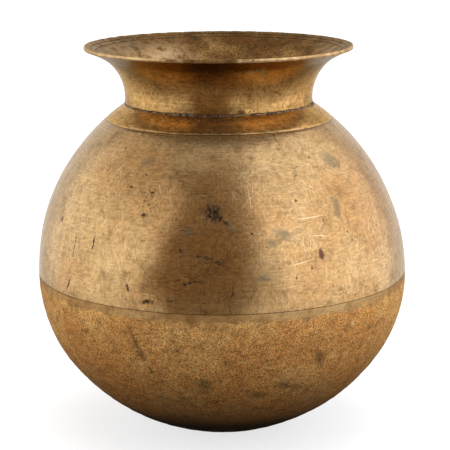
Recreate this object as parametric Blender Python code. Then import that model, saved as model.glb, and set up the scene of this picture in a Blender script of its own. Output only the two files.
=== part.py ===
"""Lota: a round-bodied brass water pot, turned as three shells and brazed together.

Frame: metres, +Z up along the pot's axis, origin at the centre of the flat it rests on.
Every piece is turned about Z from an outline in the (r, z) half plane. An outline is a
chain of tangent arcs, and a place on it is named by its heading, the angle of travel
measured from the outward radial direction, so 90 degrees is where the wall is upright.
"""
import math

import bmesh
import bpy

MM = 0.001

# Body outline, from the rest flat up to the throat, as outer radii and sweeps.
REST_FLAT_RADIUS = 14.45 * MM
REST_HEADING = math.radians(11.42)
BOWL_ARC = (74.15 * MM, math.radians(42.51))
BELLY_ARC = (53.73 * MM, math.radians(38.11))
SHOULDER_ARC = (78.12 * MM, math.radians(56.6))

# Joints and turned lines along the body.
BELLY_SEAM_HEIGHT = 61.9 * MM
SHOULDER_LINE_HEIGHT = 119.36 * MM
SHOULDER_LINE_WIDTH = 0.8 * MM
SHOULDER_LINE_DEPTH = 0.35 * MM

# Neck outline: an upright foot, then three arcs that flare it out to the lip.
NECK_RADIUS = 34.95 * MM
NECK_FOOT_HEIGHT = 126.6 * MM
FLARE_START_HEIGHT = 127.01 * MM
FLARE_ARCS = (
    (-18.57 * MM, math.radians(40.22)),
    (-15.47 * MM, math.radians(20.53)),
    (-43.76 * MM, math.radians(9.41)),
)
LIP_TOP_HEIGHT = 146.76 * MM
LIP_CHAMFER = 0.2 * MM

# Walls and lap joints.
BOWL_WALL = 1.9 * MM
SHELL_WALL = 1.4 * MM
NECK_WALL = 1.3 * MM
LAP_WALL = 1.2 * MM
LAP_HEIGHT = 4.2 * MM
LAP_ROOT_DEPTH = 5.0 * MM
LAP_TAPER_DEPTH = 13.0 * MM
SPIGOT_TOP_HEIGHT = 128.6 * MM
JOINT_GAP = 0.3 * MM
SEAM_BEAD_HEIGHT = 2.0 * MM
NECK_BEAD_PROUD = 0.3 * MM

# Fineness of the turned meshes.
SEGMENTS = 64
ARC_STEP = math.radians(6.0)

# Colour (linear), roughness and metallic value of each finish.
FINISHES = {
    "burnished_brass": ((0.47, 0.29, 0.11), 0.34, 1.0),
    "rough_cast_brass": ((0.29, 0.15, 0.055), 0.58, 1.0),
    "braze_spelter": ((0.24, 0.19, 0.12), 0.55, 1.0),
}


class ArcChain:
    """Tangent arcs in the (r, z) half plane; a positive radius bends left as it goes."""

    def __init__(self, start, heading, arcs):
        self.first_heading = heading
        self.arcs = []
        r, z = start
        for radius, sweep in arcs:
            centre = (r - radius * math.sin(heading), z + radius * math.cos(heading))
            end_heading = heading + math.copysign(sweep, radius)
            self.arcs.append((centre, radius, heading, end_heading))
            heading = end_heading
            r = centre[0] + radius * math.sin(heading)
            z = centre[1] - radius * math.cos(heading)
        self.last_heading = heading

    def point(self, heading, inset=0.0):
        """The point at a heading, moved inset to the left of the way of travel."""
        for centre, radius, low, high in self.arcs:
            if min(low, high) <= heading <= max(low, high):
                break
        reach = radius - inset
        return (centre[0] + reach * math.sin(heading), centre[1] - reach * math.cos(heading))

    def run(self, start, end, inset=0.0):
        """Points from one heading to another, both ends included."""
        pieces = max(1, round(abs(end - start) / ARC_STEP))
        steps = [start + (end - start) * i / pieces for i in range(pieces + 1)]
        return [self.point(heading, inset) for heading in steps]

    def heading_at_height(self, height, inset=0.0):
        """Where the outline, moved inset to the left, passes a height."""
        for centre, radius, low, high in self.arcs:
            cosine = (centre[1] - height) / (radius - inset)
            if abs(cosine) <= 1.0 and low <= math.acos(cosine) <= high:
                return math.acos(cosine)
        raise ValueError("the outline does not reach this height")

    def heading_at_radius(self, radius_wanted, inset=0.0):
        """Where the last arc, moved inset to the left, closes in to a radius."""
        centre, radius, _, _ = self.arcs[-1]
        return math.pi - math.asin((radius_wanted - centre[0]) / (radius - inset))


def make_material(name):
    colour, roughness, metallic = FINISHES[name]
    material = bpy.data.materials.new(name)
    material.use_nodes = True
    shader = material.node_tree.nodes["Principled BSDF"]
    shader.inputs["Base Color"].default_value = (*colour, 1.0)
    shader.inputs["Roughness"].default_value = roughness
    shader.inputs["Metallic"].default_value = metallic
    return material


def turn(name, outline, material, closed=True):
    """Turn an outline about Z into one named object.

    A closed outline makes a ring. An open one starts and ends on the axis.
    """
    mesh_builder = bmesh.new()
    verts = [mesh_builder.verts.new((r, 0.0, z)) for r, z in outline]
    pairs = list(zip(verts, verts[1:]))
    if closed:
        pairs.append((verts[-1], verts[0]))
    edges = [mesh_builder.edges.new(pair) for pair in pairs]
    bmesh.ops.spin(
        mesh_builder,
        geom=verts + edges,
        cent=(0.0, 0.0, 0.0),
        axis=(0.0, 0.0, 1.0),
        angle=math.tau,
        steps=SEGMENTS,
        use_merge=True,
    )
    bmesh.ops.remove_doubles(mesh_builder, verts=mesh_builder.verts, dist=0.001 * MM)
    bmesh.ops.recalc_face_normals(mesh_builder, faces=mesh_builder.faces)
    mesh = bpy.data.meshes.new(name)
    mesh_builder.to_mesh(mesh)
    mesh_builder.free()
    mesh.shade_smooth()
    mesh.set_sharp_from_angle(angle=math.radians(35.0))
    mesh.materials.append(material)
    piece = bpy.data.objects.new(name, mesh)
    bpy.context.scene.collection.objects.link(piece)
    return piece


def lower_bowl_outline(body):
    """Bowl wall with its flat underside and the tongue that stands inside the shell."""
    seam = BELLY_SEAM_HEIGHT - JOINT_GAP / 2
    tongue_top = BELLY_SEAM_HEIGHT + LAP_HEIGHT
    outside = SHELL_WALL + JOINT_GAP
    inside = outside + LAP_WALL
    rim = body.heading_at_height(seam)
    outline = [(0.0, 0.0)]
    outline += body.run(body.first_heading, rim)
    outline += body.run(
        body.heading_at_height(seam, outside),
        body.heading_at_height(tongue_top, outside),
        outside,
    )
    outline += body.run(
        body.heading_at_height(tongue_top, inside),
        body.heading_at_height(seam - LAP_ROOT_DEPTH, inside),
        inside,
    )
    outline += body.run(
        body.heading_at_height(seam - LAP_TAPER_DEPTH, BOWL_WALL),
        body.first_heading,
        BOWL_WALL,
    )
    floor_height = outline[-1][1]
    outline.append((0.0, floor_height))
    return outline


def shoulder_groove(body):
    """The turned line that sets off the band below the neck, as three outline points."""
    half_turn = SHOULDER_LINE_WIDTH / 2 / SHOULDER_ARC[0]
    middle = body.heading_at_height(SHOULDER_LINE_HEIGHT)
    return [
        (middle - half_turn, 0.0),
        (middle, SHOULDER_LINE_DEPTH),
        (middle + half_turn, 0.0),
    ]


def upper_shell_outline(body):
    """Shell from the belly seam to the throat, with the spigot that enters the neck."""
    seam = BELLY_SEAM_HEIGHT + JOINT_GAP / 2
    spigot_outer = NECK_RADIUS - NECK_WALL - JOINT_GAP
    spigot_inner = spigot_outer - LAP_WALL
    groove = shoulder_groove(body)
    throat = body.heading_at_radius(spigot_outer)
    inner_throat = body.heading_at_radius(spigot_inner, SHELL_WALL)
    outline = body.run(body.heading_at_height(seam), groove[0][0])
    outline.append(body.point(*groove[1]))
    outline += body.run(groove[2][0], throat)
    outline.append((spigot_outer, SPIGOT_TOP_HEIGHT))
    outline.append((spigot_inner, SPIGOT_TOP_HEIGHT))
    outline += body.run(inner_throat, body.heading_at_height(seam, SHELL_WALL), SHELL_WALL)
    return outline


def mouth_collar_outline(flare):
    """Upright foot and flared mouth, ending in a thin lip with a chamfered top edge."""
    outer = flare.run(flare.first_heading, flare.last_heading)
    inner = flare.run(flare.last_heading, flare.first_heading, NECK_WALL)
    lip_radius = outer[-1][0]
    outline = [(NECK_RADIUS, NECK_FOOT_HEIGHT)] + outer
    outline.append((lip_radius, LIP_TOP_HEIGHT - LIP_CHAMFER))
    outline.append((lip_radius - LIP_CHAMFER, LIP_TOP_HEIGHT))
    outline += inner
    outline.append((NECK_RADIUS - NECK_WALL, NECK_FOOT_HEIGHT))
    return outline


def neck_braze_outline(body):
    """Wedge of spelter between the collar's foot and the sloping shoulder."""
    proud = NECK_RADIUS + NECK_BEAD_PROUD
    inner = NECK_RADIUS - NECK_WALL
    top = NECK_FOOT_HEIGHT - JOINT_GAP
    underside = body.run(
        body.heading_at_radius(inner, -JOINT_GAP),
        body.heading_at_radius(proud, -JOINT_GAP),
        -JOINT_GAP,
    )
    shoulder_top = (proud, (underside[-1][1] + top) / 2)
    return underside + [shoulder_top, (NECK_RADIUS, top), (inner, top)]


def belly_braze_outline(body):
    """Fillet of spelter on the inside, above the bowl's tongue."""
    foot = BELLY_SEAM_HEIGHT + LAP_HEIGHT + JOINT_GAP
    against_shell = SHELL_WALL + JOINT_GAP
    over_tongue = against_shell + LAP_WALL
    waist_height = foot + SEAM_BEAD_HEIGHT * 0.35
    waist_inset = against_shell + LAP_WALL * 0.45
    return [
        body.point(body.heading_at_height(foot, over_tongue), over_tongue),
        body.point(body.heading_at_height(foot, against_shell), against_shell),
        body.point(
            body.heading_at_height(foot + SEAM_BEAD_HEIGHT, against_shell), against_shell
        ),
        body.point(body.heading_at_height(waist_height, waist_inset), waist_inset),
    ]


def main():
    for leftover in list(bpy.data.objects):
        bpy.data.objects.remove(leftover, do_unlink=True)
    body = ArcChain(
        (REST_FLAT_RADIUS, 0.0), REST_HEADING, (BOWL_ARC, BELLY_ARC, SHOULDER_ARC)
    )
    flare = ArcChain((NECK_RADIUS, FLARE_START_HEIGHT), math.radians(90.0), FLARE_ARCS)
    burnished = make_material("burnished_brass")
    rough = make_material("rough_cast_brass")
    spelter = make_material("braze_spelter")
    turn("lower_bowl", lower_bowl_outline(body), rough, closed=False)
    turn("upper_shell", upper_shell_outline(body), burnished)
    turn("mouth_collar", mouth_collar_outline(flare), burnished)
    turn("neck_braze", neck_braze_outline(body), spelter)
    turn("belly_braze", belly_braze_outline(body), spelter)


main()
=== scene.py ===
"""Looks of the lota: fine turned skins with hand-made unevenness, brass materials, studio."""
import math
from functools import partial, reduce

import bpy
import numpy as np
from mathutils import Matrix, Vector


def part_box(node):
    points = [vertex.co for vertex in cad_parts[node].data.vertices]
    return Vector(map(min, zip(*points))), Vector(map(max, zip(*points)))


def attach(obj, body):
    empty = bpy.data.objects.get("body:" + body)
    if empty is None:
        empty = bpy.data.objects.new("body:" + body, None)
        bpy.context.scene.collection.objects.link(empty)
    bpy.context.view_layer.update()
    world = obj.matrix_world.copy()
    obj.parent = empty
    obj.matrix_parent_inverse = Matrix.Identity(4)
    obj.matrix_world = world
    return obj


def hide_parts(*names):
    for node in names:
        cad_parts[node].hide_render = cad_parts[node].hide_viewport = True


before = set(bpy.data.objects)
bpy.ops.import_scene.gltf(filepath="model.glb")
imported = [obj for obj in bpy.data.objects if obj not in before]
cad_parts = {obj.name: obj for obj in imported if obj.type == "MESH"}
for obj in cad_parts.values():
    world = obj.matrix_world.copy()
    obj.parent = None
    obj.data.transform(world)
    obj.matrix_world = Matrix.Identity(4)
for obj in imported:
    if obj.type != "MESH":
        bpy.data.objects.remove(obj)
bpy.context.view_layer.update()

MM = 0.001

# ---------------------------------------------------------------------------
# Driving dimensions. Heights and radii that the frame holds are read from it.
# ---------------------------------------------------------------------------
SEAM_GAP = 0.3 * MM
SEAM_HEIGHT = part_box("upper_shell")[0].z - SEAM_GAP / 2
LIP_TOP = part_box("mouth_collar")[1].z
LIP_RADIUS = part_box("mouth_collar")[1].x
SPIGOT_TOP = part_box("upper_shell")[1].z

REST_FLAT_RADIUS = 14.45 * MM
REST_HEADING = math.radians(11.42)
BODY_ARCS = (
    (74.15 * MM, math.radians(42.51)),
    (53.73 * MM, math.radians(38.11)),
    (78.12 * MM, math.radians(56.6)),
)
NECK_RADIUS = 34.95 * MM
FLARE_START_HEIGHT = 127.01 * MM
FLARE_ARCS = (
    (-18.57 * MM, math.radians(40.22)),
    (-15.47 * MM, math.radians(20.53)),
    (-43.76 * MM, math.radians(9.41)),
)
BOWL_WALL = 1.9 * MM
SHELL_WALL = 1.4 * MM
NECK_WALL = 1.3 * MM
LAP_WALL = 1.2 * MM
LAP_HEIGHT = 4.2 * MM
SHOULDER_LINE_HEIGHT = 119.36 * MM
COLLAR_FOOT = 125.45 * MM
FLARE_LINES = (47.6 * MM, 45.7 * MM)

# Facets round the pot, and the height of a row of them. The bowl has taller rows because
# a piece of more than 200,000 triangles would be thinned out by the export.
SLICES = 640
ROW = 0.7 * MM
BOWL_ROW = 0.85 * MM
SHARP_ANGLE = math.radians(38.0)


def smooth(value, low, high):
    """0 below low, 1 above high, eased in between; low above high falls instead."""
    t = np.clip((value - low) / (high - low), 0.0, 1.0)
    return t * t * (3.0 - 2.0 * t)


# ---------------------------------------------------------------------------
# Outlines in the (r, z) half plane, as chains of tangent arcs.
# ---------------------------------------------------------------------------
class ArcChain:
    """Tangent arcs; a positive radius bends left as it goes up the pot."""

    def __init__(self, start, heading, arcs):
        self.first = heading
        self.arcs = []
        r, z = start
        for radius, sweep in arcs:
            centre = (r - radius * math.sin(heading), z + radius * math.cos(heading))
            end = heading + math.copysign(sweep, radius)
            self.arcs.append((centre, radius, heading, end))
            heading = end
            r = centre[0] + radius * math.sin(heading)
            z = centre[1] - radius * math.cos(heading)
        self.last = heading

    def point(self, heading, inset=0.0):
        for centre, radius, low, high in self.arcs:
            if min(low, high) <= heading <= max(low, high):
                break
        reach = radius - inset
        return (centre[0] + reach * math.sin(heading), centre[1] - reach * math.cos(heading))

    def at_height(self, height, inset=0.0):
        for centre, radius, low, high in self.arcs:
            cosine = (centre[1] - height) / (radius - inset)
            if abs(cosine) <= 1.0 and low <= math.acos(cosine) <= high:
                return math.acos(cosine)
        raise ValueError("the outline does not reach this height")

    def at_radius(self, radius_wanted, inset=0.0):
        centre, radius, _, _ = self.arcs[-1]
        return math.pi - math.asin((radius_wanted - centre[0]) / (radius - inset))

    def run(self, start, end, inset=0.0, row=ROW):
        """Evenly spaced points from one heading to another, both ends included."""
        length = 0.0
        for _, radius, low, high in self.arcs:
            inside = min(max(start, end), max(low, high)) - max(min(start, end), min(low, high))
            length += abs(radius - inset) * max(0.0, inside)
        count = max(1, round(length / row))
        return [self.point(start + (end - start) * i / count, inset) for i in range(count + 1)]


BODY = ArcChain((REST_FLAT_RADIUS, 0.0), REST_HEADING, BODY_ARCS)
FLARE = ArcChain((NECK_RADIUS, FLARE_START_HEIGHT), math.radians(90.0), FLARE_ARCS)


# ---------------------------------------------------------------------------
# The hand-made shape that every skin shares.
# ---------------------------------------------------------------------------
def wave_field(seed, count, shortest, longest):
    """Wave vectors, phases and weights of a smooth random field with unit spread."""
    rng = np.random.default_rng(seed)
    directions = rng.normal(size=(count, 3))
    directions /= np.linalg.norm(directions, axis=1)[:, None]
    lengths = rng.uniform(shortest, longest, count)
    phases = rng.uniform(0.0, math.tau, count)
    vectors = directions * (math.tau / lengths)[:, None]
    return vectors, phases, math.sqrt(2.0 / count)


def field_value(field, points):
    vectors, phases, weight = field
    return np.sin(points @ vectors.T + phases).sum(axis=-1) * weight


LUMPS = wave_field(11, 24, 22 * MM, 60 * MM)
LUMP_DEPTH = 0.10 * MM
OVAL = 0.12 * MM
LEAN = 0.85 * MM
LEAN_START = 50 * MM
LEAN_END = 128 * MM


def hand_shape(points):
    """Small lumps, an oval section and a lean of the upper half towards -X."""
    x, y, z = points[..., 0], points[..., 1], points[..., 2]
    radius = np.maximum(np.hypot(x, y), 1e-6)
    angle = np.arctan2(y, x)
    grip = np.clip(radius / (20 * MM), 0.0, 1.0)
    swell = (LUMP_DEPTH * field_value(LUMPS, points) + OVAL * np.cos(2 * angle + 0.7)) * grip
    lean = LEAN * np.clip((z - LEAN_START) / (LEAN_END - LEAN_START), 0.0, 1.0)
    return np.stack([x * (1 + swell / radius) - lean, y * (1 + swell / radius), z], axis=-1)


def outward(outline, closed):
    """The outward normal at each point of an outline."""
    ahead = np.roll(outline, -1, axis=0)
    behind = np.roll(outline, 1, axis=0)
    if not closed:
        ahead[-1], behind[0] = outline[-1], outline[0]
    tangent = ahead - behind
    tangent /= np.maximum(np.linalg.norm(tangent, axis=1), 1e-9)[:, None]
    return np.stack([tangent[:, 1], -tangent[:, 0]], axis=1)


def risen(outline, labels, reliefs, bearing):
    """How far the skin stands out, by outline point and bearing in degrees."""
    rise = np.zeros((len(outline), SLICES))
    for label, relief in reliefs.items():
        rows = [i for i, each in enumerate(labels) if each == label]
        grid_r = np.repeat(outline[rows, 0:1], SLICES, axis=1)
        grid_z = np.repeat(outline[rows, 1:2], SLICES, axis=1)
        rise[rows] = relief(bearing[None, :] + 0 * grid_r, grid_r, grid_z)
    return rise


def rows_of_faces(count, closed):
    """Quads between neighbouring rows of points, and back to the first row when closed."""
    faces = []
    for i in range(count if closed else count - 1):
        here, above = i * SLICES, ((i + 1) % count) * SLICES
        for j in range(SLICES):
            k = (j + 1) % SLICES
            faces.append((here + j, here + k, above + k, above + j))
    return faces


def end_fans(count):
    """Fans that close the first and the last row on two centres, added after all the rows."""
    steps = [(j, (j + 1) % SLICES) for j in range(SLICES)]
    centre, last_row = count * SLICES, (count - 1) * SLICES
    first = [(centre, k, j) for j, k in steps]
    return first + [(centre + 1, last_row + j, last_row + k) for j, k in steps]


def finish_rows(mesh, labels, finishes, closed):
    """Gives each row of faces its stretch's material, and the end fans the first stretch's."""
    used = list(dict.fromkeys(finishes.values()))
    for finish in used:
        mesh.materials.append(finish)
    slots = [used.index(finishes.get(label, finishes[""])) for label in labels]
    row_slots = np.repeat(slots if closed else slots[:-1], SLICES)
    fan_slots = np.full(len(mesh.polygons) - len(row_slots), slots[0])
    mesh.polygons.foreach_set("material_index", np.concatenate([row_slots, fan_slots]))


def turned(name, stretches, finishes, reliefs=None, closed=True):
    """Turn an outline about Z into a skin.

    stretches is a list of (label, points) that together make the outline, up the outside
    and down the inside. reliefs maps a label to a function of (bearing, r, z) that gives
    how far the surface stands out, in metres. Bearing is 0 at the front, +90 at +X.
    finishes maps a label to its material, and "" to the material of the rest.
    """
    outline = np.array([point for _, run in stretches for point in run])
    labels = [label for label, run in stretches for _ in run]
    normal = outward(outline, closed)
    turn = np.linspace(0.0, math.tau, SLICES, endpoint=False)
    turn = np.where(turn > math.pi, turn - math.tau, turn)
    rise = risen(outline, labels, reliefs or {}, np.degrees(turn))
    r = outline[:, 0:1] + normal[:, 0:1] * rise
    z = outline[:, 1:2] + normal[:, 1:2] * rise
    points = hand_shape(np.stack([r * np.sin(turn), -r * np.cos(turn), z + 0 * r], axis=-1))
    verts = points.reshape(-1, 3)
    faces = rows_of_faces(len(outline), closed)
    if not closed:
        verts = np.vstack([verts, points[0].mean(axis=0), points[-1].mean(axis=0)])
        faces += end_fans(len(outline))
    mesh = bpy.data.meshes.new(name)
    mesh.from_pydata(verts.tolist(), [], faces)
    mesh.validate()
    mesh.shade_smooth()
    mesh.set_sharp_from_angle(angle=SHARP_ANGLE)
    finish_rows(mesh, labels, finishes, closed)
    piece = bpy.data.objects.new(name, mesh)
    bpy.context.scene.collection.objects.link(piece)
    return piece


# ---------------------------------------------------------------------------
# Materials. Sizes are in metres, heights for the bump in millimetres.
# ---------------------------------------------------------------------------
MARK_DEPTH = 12 * MM


class Paint:
    """Builds one procedural material; each method adds a node and returns its output."""

    def __init__(self, name):
        self.material = bpy.data.materials.new(name)
        self.material.use_nodes = True
        self.nodes = self.material.node_tree.nodes
        self.shader = self.nodes["Principled BSDF"]
        self.place = self.nodes.new("ShaderNodeTexCoord").outputs["Object"]
        split = self.nodes.new("ShaderNodeSeparateXYZ")
        self.feed(split.inputs[0], self.place)
        self.height = split.outputs["Z"]

    def feed(self, socket, value):
        if isinstance(value, bpy.types.NodeSocket):
            self.material.node_tree.links.new(value, socket)
        else:
            socket.default_value = value

    def math(self, operation, *values):
        node = self.nodes.new("ShaderNodeMath")
        node.operation = operation
        for socket, value in zip(node.inputs, values):
            self.feed(socket, value)
        return node.outputs[0]

    def ease(self, value, low, high):
        """0 below low, 1 above high; low above high turns it round."""
        node = self.nodes.new("ShaderNodeMapRange")
        node.interpolation_type = "SMOOTHSTEP"
        self.feed(node.inputs["Value"], value)
        node.inputs["From Min"].default_value = min(low, high)
        node.inputs["From Max"].default_value = max(low, high)
        node.inputs["To Min"].default_value = float(low > high)
        node.inputs["To Max"].default_value = float(low < high)
        return node.outputs["Result"]

    def stretched(self, scale, rotation=(0.0, 0.0, 0.0)):
        """The place, turned by some degrees and scaled, to draw a noise out one way."""
        node = self.nodes.new("ShaderNodeMapping")
        self.feed(node.inputs["Vector"], self.place)
        node.inputs["Rotation"].default_value = [math.radians(angle) for angle in rotation]
        node.inputs["Scale"].default_value = scale
        return node.outputs["Vector"]

    def noise(self, size, detail=3.0, rough=0.55, vector=None, colour=False):
        node = self.nodes.new("ShaderNodeTexNoise")
        self.feed(node.inputs["Vector"], vector or self.place)
        node.inputs["Scale"].default_value = 1.0 / size
        node.inputs["Detail"].default_value = detail
        node.inputs["Roughness"].default_value = rough
        return node.outputs["Color" if colour else "Fac"]

    def cells(self, size, vector):
        """A scatter of points: its distances are in cells, and each cell's colour is random."""
        node = self.nodes.new("ShaderNodeTexVoronoi")
        self.feed(node.inputs["Vector"], vector)
        node.inputs["Scale"].default_value = 1.0 / size
        return node.outputs

    def blend(self, factor, first, second, mode="MIX"):
        node = self.nodes.new("ShaderNodeMix")
        node.data_type = "RGBA"
        node.blend_type = mode
        node.clamp_result = False
        for key, value in ((0, factor), (6, first), (7, second)):
            if isinstance(value, tuple) and len(value) == 3:
                value = (*value, 1.0)
            self.feed(node.inputs[key], value)
        return node.outputs[2]

    def stain(self, colour, mask, strength, tint):
        """The colour turned towards tint where mask is 1, by strength."""
        return self.blend(self.times(mask, strength), colour, tint)

    def shade(self, colour, amount):
        """A colour made lighter or darker by a factor around 1."""
        node = self.nodes.new("ShaderNodeVectorMath")
        node.operation = "SCALE"
        self.feed(node.inputs[0], colour)
        self.feed(node.inputs["Scale"], amount)
        return node.outputs[0]

    def times(self, first, second):
        return self.math("MULTIPLY", first, second)

    def total(self, *parts):
        """The sum of the parts; a part is a value, or a pair of a value and its weight."""
        values = [self.times(*part) if isinstance(part, tuple) else part for part in parts]
        return reduce(partial(self.math, "ADD"), values)

    def strongest(self, *values):
        return reduce(partial(self.math, "MAXIMUM"), values)

    def vector_math(self, operation, *values):
        node = self.nodes.new("ShaderNodeVectorMath")
        node.operation = operation
        for socket, value in zip(node.inputs, values):
            self.feed(socket, value)
        return node.outputs["Value" if operation in ("LENGTH", "DOT_PRODUCT") else "Vector"]

    def warped(self, size, reach, detail=3.0):
        """The place, pushed about by up to reach, so that a mark's edge is ragged."""
        push = self.noise(size, detail, 0.6, colour=True)
        pushed = self.vector_math("MULTIPLY_ADD", push, (2 * reach,) * 3, self.place)
        return self.vector_math("SUBTRACT", pushed, (reach,) * 3)

    def marks(self, marks, vector, soft=0.45):
        """Spots on the wall: each is bearing, height, half width, half height (mm) and tilt."""
        total = None
        for bearing, height, wide, tall, tilt in marks:
            radius = wall_radius(height * MM)
            turn = math.radians(bearing)
            node = self.nodes.new("ShaderNodeMapping")
            node.vector_type = "TEXTURE"
            self.feed(node.inputs["Vector"], vector)
            node.inputs["Location"].default_value = (
                radius * math.sin(turn), -radius * math.cos(turn), height * MM
            )
            node.inputs["Rotation"].default_value = (0.0, math.radians(tilt), turn)
            node.inputs["Scale"].default_value = (wide * MM, MARK_DEPTH, tall * MM)
            off = self.vector_math("LENGTH", node.outputs["Vector"])
            mask = self.ease(off, 1.0 + soft, 1.0 - soft)
            total = mask if total is None else self.strongest(total, mask)
        return total

    def nicks(self, size, length, width, vector):
        """Short straight scratches in all directions, one in each cell of a scatter."""
        cell = self.cells(size, vector)
        off = self.vector_math("SUBTRACT", vector, cell["Position"])
        across = self.vector_math("SUBTRACT", cell["Color"], (0.5, 0.5, 0.5))
        across = self.vector_math("NORMALIZE", across)
        side = self.math("ABSOLUTE", self.vector_math("DOT_PRODUCT", off, across))
        ends = self.ease(self.vector_math("LENGTH", off), length / 2, length * 0.3)
        return self.times(self.ease(side, width, width * 0.3), ends)

    def scratches(self, sizes, vector):
        """Nicks of several sizes: each is cell, length and width, in mm."""
        return self.strongest(*(
            self.nicks(cell * MM, length * MM, width * MM, vector) for cell, length, width in sizes
        ))

    def specks(self, size, radius, share_noise, share, vector):
        """Small spots, one in some of the cells, only where share_noise is above share."""
        cell = self.cells(size, vector)
        random = self.nodes.new("ShaderNodeSeparateColor")
        self.feed(random.inputs[0], cell["Color"])
        limit = self.times(self.math("POWER", random.outputs[0], 2.5), radius)
        inside = self.ease(self.math("SUBTRACT", limit, cell["Distance"]), 0.0, radius * 0.25)
        return self.times(inside, self.ease(share_noise, share, share + 0.08))

    def finish(self, colour, roughness, bump_mm, metallic, tint):
        self.feed(self.shader.inputs["Base Color"], colour)
        self.feed(self.shader.inputs["Roughness"], roughness)
        self.shader.inputs["Metallic"].default_value = metallic
        self.shader.inputs["Specular Tint"].default_value = (*tint, 1.0)
        bump = self.nodes.new("ShaderNodeBump")
        bump.inputs["Strength"].default_value = 1.0
        bump.inputs["Distance"].default_value = MM
        self.feed(bump.inputs["Height"], bump_mm)
        self.feed(self.shader.inputs["Normal"], bump.outputs["Normal"])
        return self.material


def wall_radius(height):
    """The outside radius of the body or neck at a height."""
    if height < BODY.point(BODY.last)[1]:
        return BODY.point(BODY.at_height(height))[0]
    runs = [(NECK_RADIUS, 0.0)] + FLARE.run(FLARE.first, FLARE.last)
    return float(np.interp(height, [z for _, z in runs], [r for r, _ in runs]))


def flare_inside_height(radius):
    """The height of the flare's inner face at a radius."""
    runs = FLARE.run(FLARE.first, FLARE.last, NECK_WALL)
    return float(np.interp(radius, [r for r, _ in runs], [z for _, z in runs]))


# Marks, each as bearing, height, half width, half height and tilt, in degrees and mm.
DARK_MARKS = [
    (-2.9, 95.7, 3.2, 3.2, 0.0), (-0.4, 94.0, 1.2, 1.2, 30.0), (1.2, 92.4, 1.3, 0.7, 40.0),
    (-12.0, 83.2, 1.0, 0.8, 20.0), (-22.0, 65.2, 1.6, 0.65, -8.0), (-14.5, 66.1, 0.8, 0.5, 0.0),
    (-8.3, 72.8, 2.8, 0.34, -10.0), (-10.4, 72.3, 1.1, 0.55, 0.0), (-3.8, 81.0, 1.7, 0.5, 15.0),
    (-1.0, 79.6, 1.5, 0.6, 25.0), (25.5, 98.2, 0.45, 0.35, 0.0), (-51.0, 80.0, 0.3, 3.8, 2.0),
    (-42.5, 82.5, 0.3, 3.0, 2.0), (-51.5, 66.4, 0.35, 2.6, 22.0), (-28.0, 69.2, 0.5, 1.4, -18.0),
    (-33.0, 102.6, 0.7, 0.35, 0.0), (-24.2, 101.2, 0.8, 0.4, 10.0), (-25.6, 94.0, 0.8, 0.8, 20.0),
    (-6.6, 81.6, 0.9, 0.45, 0.0), (-4.9, 75.5, 0.35, 0.3, 0.0),
    (-11.0, 89.9, 3.0, 0.15, -3.0), (-9.4, 88.7, 2.6, 0.14, -5.0), (-10.4, 90.8, 2.0, 0.13, 2.0),
    (-7.0, 101.6, 2.6, 0.13, -4.0), (-5.4, 100.2, 2.4, 0.14, -9.0),
    (44.0, 83.0, 0.4, 0.3, 0.0), (3.0, 70.0, 0.18, 3.4, 10.0), (-5.0, 66.0, 0.4, 0.3, 0.0),
    (38.0, 111.0, 0.5, 0.3, 0.0), (118.0, 88.0, 1.4, 0.9, 30.0), (150.0, 74.0, 2.2, 0.35, -12.0),
    (-140.0, 98.0, 0.9, 1.3, 10.0), (-112.0, 70.0, 0.25, 2.8, 12.0), (176.0, 102.0, 1.1, 0.8, 0.0),
    (95.0, 104.0, 0.5, 0.4, 0.0), (-165.0, 68.0, 1.2, 0.5, -20.0), (132.0, 95.0, 0.3, 2.1, 8.0),
]
SPECKLED_MARKS = [
    (-1.4, 95.0, 4.4, 4.0, 0.0), (-25.6, 97.5, 3.4, 6.5, 0.0), (-20.0, 66.0, 3.6, 2.0, 0.0),
    (-6.0, 77.5, 7.0, 3.0, 0.0), (150.0, 92.0, 5.0, 4.0, 0.0), (-120.0, 82.0, 4.0, 5.0, 0.0),
]
RUST_MARKS = [
    (31.0, 80.0, 1.0, 1.9, -6.0), (-62.0, 87.0, 0.8, 0.9, 0.0), (-160.0, 84.0, 0.8, 1.2, 0.0),
]
GREY_MARKS = [
    (19.0, 88.0, 2.6, 1.3, 28.0), (15.0, 85.4, 1.8, 0.8, 20.0), (41.0, 95.4, 1.2, 2.6, 14.0),
    (40.0, 92.6, 0.8, 1.3, 0.0), (48.0, 109.0, 3.2, 2.2, 40.0), (12.0, 74.0, 2.6, 1.0, 10.0),
    (-30.0, 110.6, 1.7, 1.2, 0.0), (-10.4, 89.4, 2.4, 1.1, 10.0), (105.0, 82.0, 3.0, 1.6, -20.0),
    (-120.0, 108.0, 3.2, 1.6, 20.0), (165.0, 90.0, 2.4, 3.0, 10.0), (2.5, 91.5, 1.4, 0.8, 30.0),
]
BRIGHT_MARKS = [
    (30.0, 92.4, 5.4, 0.16, -2.0), (1.6, 93.4, 0.9, 0.2, -38.0), (9.5, 100.0, 0.12, 3.4, -6.0),
    (-41.0, 108.0, 0.14, 2.6, 38.0), (31.0, 86.2, 3.4, 0.12, 6.0), (-23.0, 99.0, 0.14, 1.8, 20.0),
    (-6.0, 101.0, 2.0, 0.14, 30.0), (24.0, 78.0, 4.0, 0.14, -9.0), (124.0, 92.0, 5.0, 0.13, 12.0),
    (-150.0, 80.0, 0.14, 4.0, 20.0), (172.0, 78.0, 4.4, 0.13, -8.0), (-98.0, 94.0, 0.13, 3.2, 30.0),
]
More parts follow.
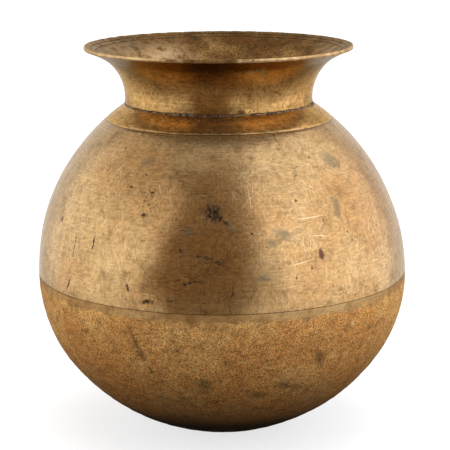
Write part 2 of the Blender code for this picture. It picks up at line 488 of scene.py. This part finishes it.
LOWER_DARK_MARKS = [
    (-27.4, 54.8, 1.1, 1.4, -10.0), (-26.4, 50.4, 0.8, 3.2, -14.0), (-24.8, 45.2, 1.5, 2.4, -14.0),
    (-22.5, 39.0, 0.8, 1.8, -6.0), (8.5, 31.4, 0.9, 0.5, 0.0), (-6.0, 34.0, 2.6, 3.2, 0.0),
    (12.0, 29.0, 3.0, 1.6, 10.0), (31.0, 42.0, 1.6, 3.4, -20.0), (22.0, 32.0, 4.0, 1.4, 16.0),
    (-45.0, 50.0, 1.4, 0.8, 0.0), (120.0, 44.0, 2.4, 3.0, 15.0), (-130.0, 36.0, 3.0, 1.8, 0.0),
    (168.0, 48.0, 1.4, 2.8, -20.0), (-95.0, 52.0, 1.2, 0.8, 0.0), (85.0, 34.0, 2.6, 1.6, 10.0),
]
# Pale patches of painted light on the inside of the flare, where its sides look lit.
PAINTED_LIGHT_MARKS = [
    (-98.0, 144.0, 13.0, 6.0, 0.0), (-120.0, 142.0, 11.0, 6.0, 0.0), (-143.0, 138.0, 10.0, 6.0, 0.0),
    (100.0, 144.0, 9.0, 4.0, 0.0),
]
GREEN_MARKS = [
    (15.0, 141.2, 0.9, 0.7, 20.0), (17.5, 141.8, 0.6, 0.5, 0.0), (20.0, 142.2, 1.1, 0.8, -20.0),
    (21.5, 141.0, 0.6, 0.9, 0.0), (-95.0, 140.6, 0.9, 0.6, 0.0), (150.0, 142.0, 1.0, 0.7, 0.0),
]
# Short scratches, each as cell, length and width in mm.
HAIR_SCRATCHES = [(3.6, 4.4, 0.13), (2.3, 2.6, 0.11)]
GOUGES = [(4.1, 4.6, 0.15), (2.7, 2.8, 0.12)]

SCRATCH_COLOUR = (0.78, 0.60, 0.36)
GOUGE_COLOUR = (0.10, 0.055, 0.022)
DIRT_COLOUR = (0.035, 0.022, 0.013)
GRIME_COLOUR = (0.030, 0.018, 0.010)
BROWN_STAIN = (0.230, 0.110, 0.034)


def hatching(paint):
    """Polishing marks: level ones, crossed in patches by upright ones."""
    patch = paint.ease(paint.noise(15 * MM, 3.0, 0.6), 0.40, 0.60)
    upright = paint.noise(1.0, 2.0, 0.6, paint.stretched((1500.0, 1500.0, 430.0), (0.0, 18.0, 0.0)))
    level = paint.noise(1.0, 2.0, 0.6, paint.stretched((430.0, 430.0, 1700.0), (0.0, -6.0, 0.0)))
    crossed = paint.times(paint.math("SUBTRACT", upright, level), patch)
    return patch, level, paint.total(level, crossed)


def scratched(paint, colour, patch):
    """The colour with pale scratches in the patches, and dark gouges mostly between them."""
    bent = paint.warped(14 * MM, 1.4 * MM, 0.0)
    hair = paint.scratches(HAIR_SCRATCHES, bent)
    colour = paint.stain(colour, paint.times(hair, patch), 0.40, SCRATCH_COLOUR)
    gouges = paint.scratches(GOUGES, bent)
    rubbed = paint.math("SUBTRACT", 1.2, patch)
    return paint.stain(colour, paint.times(gouges, rubbed), 0.45, GOUGE_COLOUR)


def pitting(paint):
    """Small ragged pits that come in clusters."""
    share = paint.noise(14 * MM, 3.0, 0.65)
    ragged = paint.warped(0.9 * MM, 0.45 * MM)
    return paint.strongest(
        paint.specks(2.6 * MM, 0.24, share, 0.56, ragged),
        paint.specks(1.3 * MM, 0.30, share, 0.53, ragged),
    )


def burnished_layers(paint, wear=1.0):
    """Hand-polished brass without its marks: colour, roughness and relief; wear is its contrast."""
    blotch = paint.noise(34 * MM, 4.0, 0.55)
    mottle = paint.noise(5 * MM, 5.0, 0.68)
    patch, level, grain = hatching(paint)
    speckle = paint.ease(grain, 0.36, 0.62)
    turning = paint.noise(1.0, 3.0, 0.6, paint.stretched((60.0, 60.0, 1500.0)))
    wiping = paint.noise(1.0, 3.0, 0.6, paint.stretched((420.0, 420.0, 90.0), (0.0, 24.0, 0.0)))
    colour = paint.blend(paint.ease(blotch, 0.38, 0.62), (0.400, 0.225, 0.085), (0.470, 0.300, 0.130))
    colour = paint.stain(colour, paint.ease(mottle, 0.50, 0.72), 0.60, (0.250, 0.125, 0.040))
    colour = paint.shade(colour, paint.total(
        (mottle, -0.45), (speckle, 0.34 * wear), (turning, 0.50 * wear), (wiping, 0.50 * wear),
        1.18 - 0.67 * wear,
    ))
    colour = scratched(paint, colour, patch)
    pits = pitting(paint)
    colour = paint.stain(colour, pits, 0.80, DIRT_COLOUR)
    rough = paint.total((mottle, 0.16), (blotch, 0.12), (pits, 0.3), 0.12)
    relief = paint.total((turning, 0.012), (mottle, 0.026), (level, 0.016), (pits, -0.09))
    return colour, rough, relief


def line_grime(paint, colour, height, width, strength):
    """Dirt packed into a turned line at a height."""
    wander = paint.times(paint.math("SUBTRACT", paint.noise(12 * MM, 1.0), 0.5), 0.25 * MM)
    off = paint.math("ABSOLUTE", paint.total(paint.height, wander, -height))
    return paint.stain(colour, paint.ease(off, width, width * 0.4), strength, GRIME_COLOUR)


def shoulder_grime(paint, colour):
    return line_grime(paint, colour, SHOULDER_LINE_HEIGHT - 0.05 * MM, 0.24 * MM, 0.6)


def seam_grime(paint, colour):
    return line_grime(paint, colour, SEAM_HEIGHT, 0.20 * MM, 0.6)


def dark_marks(paint, warped):
    """The dark marks, broken up a little, and crumbs of dirt round some of them."""
    crumbs = paint.noise(0.9 * MM, 3.0, 0.6)
    broken = paint.ease(crumbs, 0.56, 0.44)
    dirt = paint.marks(SPECKLED_MARKS, warped, 0.8)
    dirt = paint.times(dirt, paint.ease(crumbs, 0.55, 0.60))
    dark = paint.strongest(paint.marks(DARK_MARKS, warped), dirt)
    return paint.times(dark, paint.total((broken, 0.40), 0.60))


def burnished_brass():
    paint = Paint("burnished_brass")
    colour, rough, relief = burnished_layers(paint)
    grey = paint.marks(GREY_MARKS, paint.warped(3.0 * MM, 2.2 * MM), 0.9)
    colour = paint.stain(colour, grey, 0.60, (0.150, 0.130, 0.080))
    colour = paint.stain(colour, paint.marks(BRIGHT_MARKS, paint.place), 0.60, SCRATCH_COLOUR)
    warped = paint.warped(1.5 * MM, 0.9 * MM)
    dark = dark_marks(paint, warped)
    colour = paint.stain(colour, dark, 0.97, (0.016, 0.010, 0.006))
    colour = paint.stain(colour, paint.marks(RUST_MARKS, warped), 0.9, (0.075, 0.024, 0.016))
    rough = paint.total(rough, (dark, 0.3), (grey, 0.15))
    colour = seam_grime(paint, shoulder_grime(paint, colour))
    return paint.finish(colour, rough, relief, 0.86, (1.0, 0.96, 0.90))


def collar_brass():
    """Burnished, with painted shade under the rim, a foot darker with grime and painted shade, and a worn
    lip.
    """
    paint = Paint("collar_brass")
    colour, rough, relief = burnished_layers(paint, 1.5)
    colour = paint.blend(1.0, colour, (1.22, 1.16, 0.98), "MULTIPLY")
    wander = paint.times(paint.noise(9 * MM, 4.0, 0.6), 6 * MM)
    # Painted shade under the rim: the collar darkens going up towards the rim.
    shade = paint.ease(paint.total(paint.height, wander), 136.0 * MM, 148.0 * MM)
    colour = paint.stain(colour, shade, 0.93, (0.045, 0.018, 0.004))
    # Darker towards the collar's foot: partly grime, partly painted shade where the collar meets the
    # shoulder.
    foot = paint.ease(paint.total(paint.height, (wander, 0.6)), 132.0 * MM, 127.0 * MM)
    above = paint.math("GREATER_THAN", paint.height, COLLAR_FOOT)
    colour = paint.stain(colour, paint.times(foot, above), 0.62, (0.140, 0.072, 0.022))
    lip = paint.ease(paint.height, LIP_TOP - 1.35 * MM, LIP_TOP - 1.0 * MM)
    worn = paint.ease(paint.noise(6 * MM, 4.0, 0.7), 0.32, 0.68)
    colour = paint.blend(lip, colour, paint.blend(worn, (0.32, 0.19, 0.080), (0.56, 0.38, 0.19)))
    green = paint.marks(GREEN_MARKS, paint.warped(0.8 * MM, 0.8 * MM), 0.6)
    colour = paint.stain(colour, green, 0.75, (0.18, 0.24, 0.19))
    colour = shoulder_grime(paint, colour)
    return paint.finish(colour, rough, relief, 0.93, (0.95, 0.82, 0.62))


def tarnished_brass(name, lines):
    """The inside: brown, old water marks, pale patches of painted light, and dirt in the turned lines at
    some heights.
    """
    paint = Paint(name)
    blotch = paint.noise(16 * MM, 4.0, 0.6)
    mottle = paint.noise(3.2 * MM, 4.0, 0.65)
    grain = paint.noise(0.6 * MM, 4.0, 0.7)
    colour = paint.blend(paint.ease(blotch, 0.42, 0.60), (0.320, 0.180, 0.062), (0.195, 0.088, 0.026))
    colour = paint.stain(colour, paint.ease(mottle, 0.48, 0.64), 0.65, (0.120, 0.066, 0.022))
    greyed = paint.ease(paint.noise(7 * MM, 4.0, 0.6), 0.54, 0.66)
    colour = paint.stain(colour, greyed, 0.7, (0.080, 0.058, 0.026))
    colour = paint.shade(colour, paint.total(paint.ease(grain, 0.36, 0.64), 0.50))
    # Painted light: pale patches on the flare's inside, broken up by the mottle.
    pale = paint.marks(PAINTED_LIGHT_MARKS, paint.warped(6 * MM, 5 * MM), 0.9)
    pale = paint.times(pale, paint.ease(mottle, 0.66, 0.42))
    colour = paint.stain(colour, pale, 0.72, (0.48, 0.34, 0.19))
    for height in lines:
        colour = line_grime(paint, colour, height, 0.16 * MM, 0.85)
    rough = paint.total((mottle, 0.2), 0.36)
    relief = paint.total((mottle, 0.05), (grain, 0.02))
    return paint.finish(colour, rough, relief, 0.92, (0.9, 0.8, 0.65))


BURNISH_REACH = 2.7 * MM


def cast_metal(paint, patch, cast, grain, speckle, streak):
    """The unpolished metal's colour, redder lower down, with glints."""
    colour = paint.blend(paint.ease(patch, 0.40, 0.62), (0.560, 0.328, 0.113), (0.485, 0.243, 0.072))
    colour = paint.stain(colour, paint.ease(cast, 0.48, 0.68), 0.5, BROWN_STAIN)
    rusty = paint.ease(paint.noise(1.1 * MM, 4.0, 0.7), 0.52, 0.60)
    reddened = paint.ease(paint.total(paint.height, (patch, 14 * MM)), 64 * MM, 44 * MM)
    rusty = paint.times(rusty, paint.total((reddened, 0.60), 0.40))
    colour = paint.stain(colour, rusty, 0.75, (0.420, 0.130, 0.028))
    colour = paint.shade(colour, paint.total((speckle, 1.25), (streak, 0.8), (cast, -0.3), 0.17))
    glint = paint.times(paint.ease(grain, 0.60, 0.68), paint.ease(patch, 0.36, 0.6))
    return paint.stain(colour, glint, 0.8, (0.74, 0.52, 0.25))


def sooted_and_shaded(paint, colour, patch, cast):
    """The colour darkened towards the foot, partly sooty and partly painted shade near the floor, and the
    mask of that darkening.
    """
    soot_and_shade = paint.ease(paint.total(paint.height, (patch, 14 * MM)), 52 * MM, 12 * MM)
    colour = paint.stain(colour, soot_and_shade, 0.95, (0.022, 0.010, 0.004))
    # Darkest at the base: sooty there, with painted shade where the pot meets the floor.
    base_soot_and_shade = paint.ease(paint.total(paint.height, (cast, 9 * MM)), 22 * MM, 12 * MM)
    return paint.stain(colour, base_soot_and_shade, 0.95, (0.004, 0.003, 0.002)), soot_and_shade


def bare_strip(paint, patch, cast, speckle, streak):
    """The colour of the burnished strip below the seam."""
    colour = paint.blend(paint.ease(patch, 0.38, 0.62), (0.430, 0.245, 0.092), (0.500, 0.320, 0.135))
    colour = paint.stain(colour, paint.ease(cast, 0.46, 0.66), 0.60, BROWN_STAIN)
    return paint.shade(colour, paint.total((speckle, 0.45), (streak, 0.4), 0.50))


def polished_mask(paint, cast, grain):
    """1 above the ragged edge of the burnished strip, 0 below it."""
    ragged = paint.total(
        (paint.math("SUBTRACT", cast, 0.5), 7.0 * MM), (paint.math("SUBTRACT", grain, 0.5), 2.2 * MM)
    )
    edge = SEAM_HEIGHT - BURNISH_REACH
    return paint.ease(paint.total(paint.height, ragged), edge - 1.2 * MM, edge + 0.6 * MM)


def rough_cast_brass():
    """The unpolished lower half, with the burnished strip that runs on below the seam."""
    paint = Paint("rough_cast_brass")
    patch = paint.noise(26 * MM, 4.0, 0.6)
    cast = paint.noise(4 * MM, 5.0, 0.7)
    grain = paint.noise(0.5 * MM, 4.0, 0.75)
    streak = paint.noise(1.0, 4.0, 0.6, paint.stretched((150.0, 150.0, 700.0)))
    speckle = paint.ease(grain, 0.36, 0.64)
    colour = cast_metal(paint, patch, cast, grain, speckle, streak)
    pits = paint.specks(0.8 * MM, 0.40, cast, 0.50, paint.warped(0.7 * MM, 0.25 * MM))
    smudges = paint.marks(LOWER_DARK_MARKS, paint.warped(1.6 * MM, 1.6 * MM), 0.7)
    smudges = paint.times(smudges, paint.total((speckle, -0.55), 1.0))
    dark = paint.strongest(paint.times(pits, 1.3), smudges)
    nicked = paint.nicks(2.6 * MM, 3.0 * MM, 0.12 * MM, paint.warped(14 * MM, 1.4 * MM, 0.0))
    colour = paint.stain(colour, nicked, 0.35, SCRATCH_COLOUR)
    colour = paint.stain(colour, dark, 0.80, (0.070, 0.048, 0.024))
    colour, soot_and_shade = sooted_and_shaded(paint, colour, patch, cast)
    polished = polished_mask(paint, cast, grain)
    colour = paint.blend(polished, colour, bare_strip(paint, patch, cast, speckle, streak))
    unpolished = paint.math("SUBTRACT", 1.0, polished)
    rough = paint.total((unpolished, 0.14), (grain, 0.22), (soot_and_shade, 0.25), 0.32)
    texture = paint.total((grain, 0.10), (cast, 0.16))
    depth = paint.total((unpolished, 0.85), 0.15)
    relief = paint.total((texture, depth), (pits, -0.08))
    paint.shader.inputs["Specular IOR Level"].default_value = 0.25
    return paint.finish(seam_grime(paint, colour), rough, relief, 0.62, (0.45, 0.32, 0.20))


def spelter():
    paint = Paint("braze_spelter")
    lumps = paint.noise(2.5 * MM, 4.0, 0.6)
    grain = paint.noise(0.6 * MM, 2.0)
    colour = paint.blend(paint.ease(lumps, 0.45, 0.6), (0.070, 0.042, 0.022), (0.26, 0.155, 0.062))
    colour = paint.blend(paint.ease(grain, 0.55, 0.7), colour, (0.20, 0.19, 0.19))
    rough = paint.total((grain, 0.3), 0.4)
    relief = paint.total((lumps, 0.2), (grain, 0.04))
    return paint.finish(colour, rough, relief, 0.7, (0.9, 0.85, 0.8))


BURNISHED = burnished_brass()
COLLAR = collar_brass()
TARNISHED = tarnished_brass("tarnished_brass", [])
INSIDE = tarnished_brass("flare_inside_brass", [flare_inside_height(radius) for radius in FLARE_LINES])
ROUGH = rough_cast_brass()
SPELTER = spelter()


# ---------------------------------------------------------------------------
# Relief: how far a place on a skin stands out, by bearing in degrees and height.
# ---------------------------------------------------------------------------
CAST_LUMPS = wave_field(23, 40, 2.5 * MM, 7 * MM)
LOWER_LUMP = 0.035 * MM
SECOND_LINE_DROP = 0.65 * MM
# Where spelter ran over the collar's foot, as bearing and half width in degrees.
SPELTER_SPILLS = [(-24.0, 14.0), (31.0, 4.0), (78.0, 8.0), (150.0, 14.0), (-120.0, 9.0), (-165.0, 5.0)]
# Dents, each as bearing, height, radius and depth, in degrees and mm.
DENTS = [
    (-2.0, 95.5, 4.5, 0.16), (-33.0, 97.0, 8.0, 0.10), (-12.0, 84.0, 5.0, 0.08), (24.0, 90.0, 10.0, 0.10),
    (42.0, 99.0, 7.0, 0.10), (8.0, 72.0, 8.0, 0.09), (-46.0, 76.0, 9.0, 0.12), (-22.0, 112.0, 7.0, 0.09),
    (60.0, 78.0, 8.0, 0.12), (-70.0, 92.0, 9.0, 0.12), (108.0, 86.0, 7.0, 0.12), (140.0, 98.0, 9.0, 0.15),
    (-110.0, 80.0, 8.0, 0.12), (-150.0, 104.0, 6.0, 0.13), (172.0, 76.0, 9.0, 0.12),
    (92.0, 110.0, 6.0, 0.08),
]
LOWER_DENTS = [
    (-25.0, 46.0, 6.0, 0.12), (-6.0, 33.0, 7.0, 0.12), (30.0, 42.0, 7.0, 0.12), (14.0, 50.0, 9.0, 0.12),
    (-58.0, 40.0, 8.0, 0.14), (70.0, 50.0, 8.0, 0.14), (120.0, 36.0, 8.0, 0.16),
    (-130.0, 46.0, 9.0, 0.16), (168.0, 30.0, 7.0, 0.14), (-90.0, 26.0, 7.0, 0.12),
]


def surface_points(bearing, r, z):
    turn = np.radians(bearing)
    return np.stack([r * np.sin(turn), -r * np.cos(turn), z], axis=-1)


def around(bearing, middle):
    """The turn from one bearing to another, between -180 and 180 degrees."""
    return (bearing - middle + 180.0) % 360.0 - 180.0


def pitted(marks, bearing, height):
    """1 in the middle of each mark, 0 outside them all."""
    total = np.zeros_like(height)
    for where, level, wide, tall, tilt in marks:
        across = np.radians(around(bearing, where)) * wall_radius(level * MM)
        up = height - level * MM
        turn = math.radians(tilt)
        along = (across * math.cos(turn) - up * math.sin(turn)) / (wide * MM)
        beside = (across * math.sin(turn) + up * math.cos(turn)) / (tall * MM)
        total = np.maximum(total, smooth(np.hypot(along, beside), 1.4, 0.2))
    return total


def dented(dents, bearing, height):
    """How deep the shallow round dents are at a place, in metres."""
    total = np.zeros_like(height)
    for where, level, radius, depth in dents:
        across = np.radians(around(bearing, where)) * wall_radius(level * MM)
        off = np.hypot(across, height - level * MM) / (radius * MM)
        total = total + depth * MM * np.exp(-2.0 * off ** 2)
    return total


def uneven(seed, bearing, longest):
    """A smooth random value around zero that runs round the pot; longest is in degrees."""
    rng = np.random.default_rng(seed)
    total = np.zeros_like(bearing)
    for step in range(14):
        turns = rng.integers(360 / longest / 3, 360 / longest) + step
        total = total + np.sin(np.radians(bearing) * turns + rng.uniform(0.0, math.tau))
    return total / math.sqrt(14.0)


# ---------------------------------------------------------------------------
# Pieces.
# ---------------------------------------------------------------------------
def groove(position, middle, width):
    """1 at the middle of a turned line, 0 beyond half its width."""
    return np.clip(1.0 - np.abs(position - middle) / (width / 2), 0.0, 1.0) ** 0.8


def with_rows(run, middle, width, axis=1):
    """Adds close rows to a run where a turned line crosses it."""
    low, high = sorted((run[0][axis], run[-1][axis]))
    values = [middle + width * k / 4 for k in (-3, -2, -1, 0, 1, 2, 3)]
    order = 1 if run[-1][axis] > run[0][axis] else -1
    keys = [point[axis] * order for point in run]
    other = 1 - axis
    extra = []
    for value in values:
        if low < value < high:
            fixed = np.interp(value * order, keys, [point[other] for point in run])
            extra.append((fixed, value) if axis == 1 else (value, fixed))
    kept = [p for p in run if min(abs(p[axis] - v) for v in values) > width / 5]
    return sorted(kept + extra, key=lambda point: point[axis] * order)


def upper_shell():
    seam = SEAM_HEIGHT + 0.05 * MM
    spigot_outer = NECK_RADIUS - NECK_WALL - 0.3 * MM
    spigot_inner = spigot_outer - LAP_WALL
    outer = BODY.run(BODY.at_height(seam), BODY.at_radius(spigot_outer))
    outer = with_rows(outer, SHOULDER_LINE_HEIGHT, 0.9 * MM)
    body = [point for point in outer if point[1] <= SHOULDER_LINE_HEIGHT]
    shoulder = outer[len(body):]
    spigot = [(spigot_outer, SPIGOT_TOP), (spigot_inner, SPIGOT_TOP)]
    inner = BODY.run(
        BODY.at_radius(spigot_inner, SHELL_WALL), BODY.at_height(seam, SHELL_WALL), SHELL_WALL, 4 * MM
    )

    def relief(bearing, r, z):
        line = -0.13 * MM * groove(z, SHOULDER_LINE_HEIGHT, 0.9 * MM)
        band = 0.03 * MM * smooth(z, SHOULDER_LINE_HEIGHT - 0.1 * MM, SHOULDER_LINE_HEIGHT + 0.3 * MM)
        return line + band - dented(DENTS, bearing, z) - 0.12 * MM * pitted(DARK_MARKS, bearing, z)

    return turned(
        "upper_shell_skin",
        [("body", body), ("shoulder", shoulder), ("spigot", spigot), ("inner", inner)],
        {"": BURNISHED, "shoulder": COLLAR, "spigot": TARNISHED, "inner": TARNISHED},
        {"body": relief, "shoulder": relief},
    )


def lower_bowl():
    seam = SEAM_HEIGHT - 0.05 * MM
    tongue_top = SEAM_HEIGHT + LAP_HEIGHT
    outside = SHELL_WALL + 0.3 * MM
    inside = outside + LAP_WALL
    outer = BODY.run(BODY.first, BODY.at_height(seam), row=BOWL_ROW)
    outer = with_rows(outer, SEAM_HEIGHT - SECOND_LINE_DROP, 0.5 * MM)
    tongue = BODY.run(BODY.at_height(seam, outside), BODY.at_height(tongue_top, outside), outside)
    inner = BODY.run(
        BODY.at_height(tongue_top, inside), BODY.at_height(seam - 5 * MM, inside), inside, 3 * MM
    )
    inner += BODY.run(
        BODY.at_height(seam - 13 * MM, BOWL_WALL), BODY.first, BOWL_WALL, 4 * MM
    )

    def relief(bearing, r, z):
        second = groove(z, SEAM_HEIGHT - SECOND_LINE_DROP, 0.5 * MM) * smooth(bearing, -42.0, -56.0)
        cast = LOWER_LUMP * field_value(CAST_LUMPS, surface_points(bearing, r, z))
        cast *= smooth(z, SEAM_HEIGHT - BURNISH_REACH, SEAM_HEIGHT - 2 * BURNISH_REACH)
        worn = dented(LOWER_DENTS, bearing, z) + 0.12 * MM * pitted(LOWER_DARK_MARKS, bearing, z)
        return cast - worn - 0.10 * MM * second

    return turned(
        "lower_bowl_skin", [("outer", outer), ("tongue", tongue), ("inner", inner)],
        {"": ROUGH, "inner": TARNISHED, "tongue": TARNISHED}, {"outer": relief}, closed=False,
    )


def mouth_collar():
    foot = [
        (NECK_RADIUS - 0.30 * MM, COLLAR_FOOT),
        (NECK_RADIUS + 0.10 * MM, COLLAR_FOOT + 0.02 * MM),
        (NECK_RADIUS + 0.18 * MM, COLLAR_FOOT + 0.12 * MM),
        (NECK_RADIUS + 0.18 * MM, COLLAR_FOOT + 0.35 * MM),
        (NECK_RADIUS + 0.10 * MM, COLLAR_FOOT + 0.75 * MM),
        (NECK_RADIUS + 0.03 * MM, COLLAR_FOOT + 1.20 * MM),
    ]
    outer = FLARE.run(FLARE.first, FLARE.last, 0.0, 0.5 * MM)
    lip = [
        (LIP_RADIUS - 0.08 * MM, LIP_TOP - 1.12 * MM),
        (LIP_RADIUS, LIP_TOP - 0.90 * MM),
        (LIP_RADIUS, LIP_TOP - 0.32 * MM),
        (LIP_RADIUS - 0.08 * MM, LIP_TOP - 0.10 * MM),
        (LIP_RADIUS - 0.34 * MM, LIP_TOP),
    ]
    inner = FLARE.run(FLARE.last, FLARE.first, NECK_WALL, 0.5 * MM)
    for radius in FLARE_LINES:
        inner = with_rows(inner, radius, 0.5 * MM, axis=0)
    inner.append((NECK_RADIUS - NECK_WALL, COLLAR_FOOT))

    def foot_relief(bearing, r, z):
        nicked = smooth(uneven(33, bearing, 14.0), 0.6, 1.4)
        return 0.07 * MM * uneven(31, bearing, 9.0) - 0.10 * MM * nicked

    def lip_relief(bearing, r, z):
        worn = 0.05 * MM * uneven(41, bearing, 7.0) + 0.015 * MM * uneven(43, bearing, 2.5)
        return worn - 0.12 * MM * smooth(uneven(47, bearing, 4.0), 1.3, 2.1)

    def lined(bearing, r, z):
        return -0.14 * MM * sum(groove(r, radius, 0.5 * MM) for radius in FLARE_LINES)

    return turned(
        "mouth_collar_skin", [("foot", foot), ("outer", outer), ("lip", lip), ("inner", inner)],
        {"": COLLAR, "inner": INSIDE}, {"foot": foot_relief, "lip": lip_relief, "inner": lined},
    )


def neck_braze():
    ring = [
        (NECK_RADIUS - 1.2 * MM, 124.7 * MM),
        (NECK_RADIUS + 0.20 * MM, 124.7 * MM),
        (NECK_RADIUS + 0.32 * MM, 124.9 * MM),
        (NECK_RADIUS + 0.30 * MM, 125.15 * MM),
        (NECK_RADIUS + 0.05 * MM, COLLAR_FOOT - 0.03 * MM),
        (NECK_RADIUS - 1.2 * MM, COLLAR_FOOT - 0.03 * MM),
    ]

    def relief(bearing, r, z):
        spilled = np.zeros_like(bearing)
        for where, width in SPELTER_SPILLS:
            spilled = np.maximum(spilled, smooth(np.abs(around(bearing, where)), width, width * 0.4))
        lumps = 0.5 + 0.5 * uneven(53, bearing, 3.0)
        rise = 0.55 * MM * spilled * np.clip(lumps, 0.0, 1.2) + 0.05 * MM * uneven(59, bearing, 5.0)
        return np.where(r > NECK_RADIUS, rise, 0.0)

    return turned("neck_braze_bead", [("outer", ring)], {"": SPELTER}, {"outer": relief})


def belly_braze():
    foot = SEAM_HEIGHT + LAP_HEIGHT
    wall = SHELL_WALL + 0.1 * MM
    tip = wall + LAP_WALL
    ring = [
        BODY.point(BODY.at_height(foot, tip), tip),
        BODY.point(BODY.at_height(foot, wall), wall),
        BODY.point(BODY.at_height(foot + 2 * MM, wall), wall),
        BODY.point(BODY.at_height(foot + 0.7 * MM, wall + 0.5 * MM), wall + 0.5 * MM),
    ]
    return turned("belly_braze_bead", [("outer", ring)], {"": SPELTER})


for node, build, slot in (
    ("upper_shell", upper_shell, "burnished_brass"),
    ("lower_bowl", lower_bowl, "rough_cast_brass"),
    ("mouth_collar", mouth_collar, "burnished_brass"),
    ("neck_braze", neck_braze, "braze_spelter"),
    ("belly_braze", belly_braze, "braze_spelter"),
):
    skin = build()
    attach(skin, "root")
    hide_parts(node)


# ---------------------------------------------------------------------------
# Stage, lights and camera.
# ---------------------------------------------------------------------------
def matte(name, colour, glow=0.0):
    material = bpy.data.materials.new(name)
    material.use_nodes = True
    shader = material.node_tree.nodes["Principled BSDF"]
    shader.inputs["Base Color"].default_value = (*colour, 1.0)
    shader.inputs["Emission Color"].default_value = (1.0, 1.0, 1.0, 1.0)
    shader.inputs["Emission Strength"].default_value = glow
    shader.inputs["Roughness"].default_value = 0.95
    return material


def flat_panel(name, corners, colour, glow=0.0):
    mesh = bpy.data.meshes.new(name)
    mesh.from_pydata(corners, [], [tuple(range(len(corners)))])
    mesh.materials.append(matte(name + "_finish", colour, glow))
    panel = bpy.data.objects.new(name, mesh)
    bpy.context.scene.collection.objects.link(panel)
    return panel


def hide_from(thing, *rays):
    for ray in rays:
        setattr(thing, "visible_" + ray, False)


FLOOR_REACH = 30.0
FLOOR_SIDES = 96
FLOOR_GREY = 0.34
FLOOR_GLOW = 0.72


def floor():
    """A pale floor that glows a little. Gloss and bounced light don't see it."""
    turns = [math.tau * k / FLOOR_SIDES for k in range(FLOOR_SIDES)]
    ring = [(FLOOR_REACH * math.cos(turn), FLOOR_REACH * math.sin(turn), 0.0) for turn in turns]
    hide_from(flat_panel("floor", ring, (FLOOR_GREY,) * 3, FLOOR_GLOW), "glossy", "diffuse")


def softbox(name, centre, aim, width, height, radiance, colour):
    light = bpy.data.lights.new(name, "AREA")
    light.shape = "RECTANGLE"
    light.size = width
    light.size_y = height
    light.energy = radiance * math.pi * width * height
    light.color = colour
    lamp = bpy.data.objects.new(name, light)
    lamp.location = centre
    lamp.rotation_euler = (Vector(aim) - Vector(centre)).to_track_quat("-Z", "Y").to_euler()
    hide_from(lamp, "camera")
    bpy.context.scene.collection.objects.link(lamp)


def floor_light():
    light = bpy.data.lights.new("floor_light", "SUN")
    light.energy = 1.4
    light.angle = math.radians(50.0)
    lamp = bpy.data.objects.new("floor_light", light)
    lamp.location = (0.0, 0.0, 2.0)
    hide_from(lamp, "glossy")
    bpy.context.scene.collection.objects.link(lamp)


# Brightness of the air by the height of the direction, from straight down to straight up.
AIR_LIGHT = (
    (-1.0, 0.05), (-0.85, 0.13), (-0.55, 0.48), (-0.28, 0.92), (-0.10, 1.0), (0.35, 0.95),
    (0.66, 0.44), (0.86, 0.16), (1.0, 1.0),
)


def studio_air():
    """Brightest at the horizon and straight up, darker and warmer between them and below.

    Gloss sees it below the horizon too, in place of the floor.
    """
    world = bpy.data.worlds.new("studio_air")
    world.use_nodes = True
    nodes, links = world.node_tree.nodes, world.node_tree.links
    place = nodes.new("ShaderNodeTexCoord")
    split = nodes.new("ShaderNodeSeparateXYZ")
    rise = nodes.new("ShaderNodeMapRange")
    ramp = nodes.new("ShaderNodeValToRGB")
    rise.inputs["From Min"].default_value = -1.0
    links.new(place.outputs["Generated"], split.inputs[0])
    links.new(split.outputs["Z"], rise.inputs["Value"])
    links.new(rise.outputs["Result"], ramp.inputs["Fac"])
    stops = ramp.color_ramp.elements
    for height, _ in AIR_LIGHT[1:-1]:
        stops.new((height + 1.0) / 2.0)
    for stop, (_, light) in zip(stops, AIR_LIGHT):
        stop.color = (light, light ** 1.15, light ** 1.35, 1.0)
    links.new(ramp.outputs["Color"], nodes["Background"].inputs["Color"])
    bpy.context.scene.world = world


floor()
studio_air()
softbox("left_softbox", (-0.90, -0.39, 0.85), (0.0, -0.39, 0.85), 2.2, 2.0, 0.64, (1.0, 1.0, 1.03))
softbox("right_softbox", (0.73, -0.78, 0.68), (0.0, -0.78, 0.44), 0.86, 1.83, 1.15, (0.98, 1.08, 1.28))
softbox("side_softbox", (0.73, 0.16, 0.68), (0.0, 0.16, 0.44), 1.02, 1.83, 0.95, (1.0, 1.0, 1.08))
softbox("upper_softbox", (0.66, -0.45, 1.00), (0.0, -0.45, 0.76), 1.60, 0.95, 0.34, (0.98, 1.08, 1.28))
floor_light()

# A dark card before the pot, seen only in reflections, as (x, z) corners.
FLAG_DISTANCE = 0.62
FLAG_OUTLINE = (
    (-0.42, -0.55), (0.15, -0.55), (0.15, -0.02), (0.25, 0.06), (0.25, 0.24), (0.22, 0.44), (0.13, 0.68),
    (0.11, 1.14), (0.08, 2.0), (-0.06, 2.0), (-0.27, 1.20), (-0.37, 0.68), (-0.45, 0.42), (-0.51, 0.22),
    (-0.76, 0.05), (-0.42, -0.02),
)
flag = flat_panel("front_flag", [(x, -FLAG_DISTANCE, z) for x, z in FLAG_OUTLINE], (0.21, 0.128, 0.050))
hide_from(flag, "camera", "shadow", "diffuse")
bpy.context.scene.view_settings.view_transform = "Standard"

CAMERA_PLACE = Vector((1.2 * MM, -576.6 * MM, 208.2 * MM))
CAMERA_AIM = Vector((1.2 * MM, 0.0, 77.56 * MM))
CAMERA_ROLL = math.radians(0.35)
lens = bpy.data.cameras.new("camera")
lens.lens = 123.5
lens.sensor_width = 36.0
camera = bpy.data.objects.new("camera", lens)
camera.location = CAMERA_PLACE
facing = (CAMERA_AIM - CAMERA_PLACE).to_track_quat("-Z", "Y").to_matrix().to_4x4()
camera.rotation_euler = (facing @ Matrix.Rotation(-CAMERA_ROLL, 4, "Z")).to_euler()
bpy.context.scene.collection.objects.link(camera)
bpy.context.scene.camera = camera
